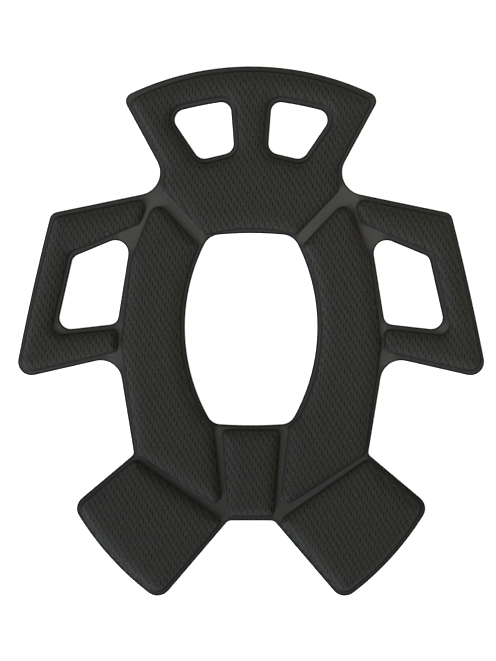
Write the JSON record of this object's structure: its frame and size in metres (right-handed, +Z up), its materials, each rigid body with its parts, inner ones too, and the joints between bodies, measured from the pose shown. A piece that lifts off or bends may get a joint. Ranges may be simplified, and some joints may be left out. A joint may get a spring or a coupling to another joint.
{
  "type": "helmet comfort liner",
  "caption": "Thermoformed comfort liner for the inside of a helmet, laid flat: padded petals round an oval opening, mesh on one side and loop fabric on the other.",
  "frame": {"origin": "on the surface that the liner lies on, under the middle of its box", "axes": "+Y towards the front of the head, +Z up from the loop backing to the mesh, +X to the right seen from the mesh side"},
  "size_m": [0.2898, 0.3291, 0.0065],
  "materials": {
    "mesh_face": "perforated knitted mesh, pressed smooth in the channels",
    "loop_backing": "brushed loop fabric",
    "foam": "open-cell foam"
  },
  "bodies": {
    "crown": {"crown_backing": "loop_backing", "crown_face": "mesh_face", "left_crown_foam": "foam", "right_crown_foam": "foam", "rear_centre_foam": "foam", "waist_foam": "foam"},
    "front": {"front_backing": "loop_backing", "front_face": "mesh_face", "front_foam": "foam"},
    "left_side": {"left_side_backing": "loop_backing", "left_side_face": "mesh_face", "left_side_foam": "foam"},
    "right_side": {"right_side_backing": "loop_backing", "right_side_face": "mesh_face", "right_side_foam": "foam"},
    "left_rear": {"left_rear_backing": "loop_backing", "left_rear_face": "mesh_face", "left_rear_foam": "foam"},
    "right_rear": {"right_rear_backing": "loop_backing", "right_rear_face": "mesh_face", "right_rear_foam": "foam"}
  },
  "joints": [
    {"name": "front_fold", "type": "hinge", "parent": "crown", "child": "front", "pos_m": [0, 0.096, 0.0065], "axis": [1, 0, 0], "range_deg": [0, 40], "stiffness_Nm_per_rad": 0.02},
    {"name": "left_side_fold", "type": "hinge", "parent": "crown", "child": "left_side", "pos_m": [-0.0745, 0.03175, 0.0015], "axis": [0.1886, 0.9821, 0], "range_deg": [0, 40], "stiffness_Nm_per_rad": 0.02},
    {"name": "right_side_fold", "type": "hinge", "parent": "crown", "child": "right_side", "pos_m": [0.0745, 0.03175, 0.0015], "axis": [0.1886, -0.9821, 0], "range_deg": [0, 40], "stiffness_Nm_per_rad": 0.02},
    {"name": "left_rear_fold", "type": "hinge", "parent": "crown", "child": "left_rear", "pos_m": [-0.04375, -0.0968, 0.0015], "axis": [-0.8182, 0.5749, 0], "range_deg": [0, 45], "stiffness_Nm_per_rad": 0.02},
    {"name": "right_rear_fold", "type": "hinge", "parent": "crown", "child": "right_rear", "pos_m": [0.04375, -0.0968, 0.0015], "axis": [-0.8182, -0.5749, 0], "range_deg": [0, 45], "stiffness_Nm_per_rad": 0.02}
  ]
}
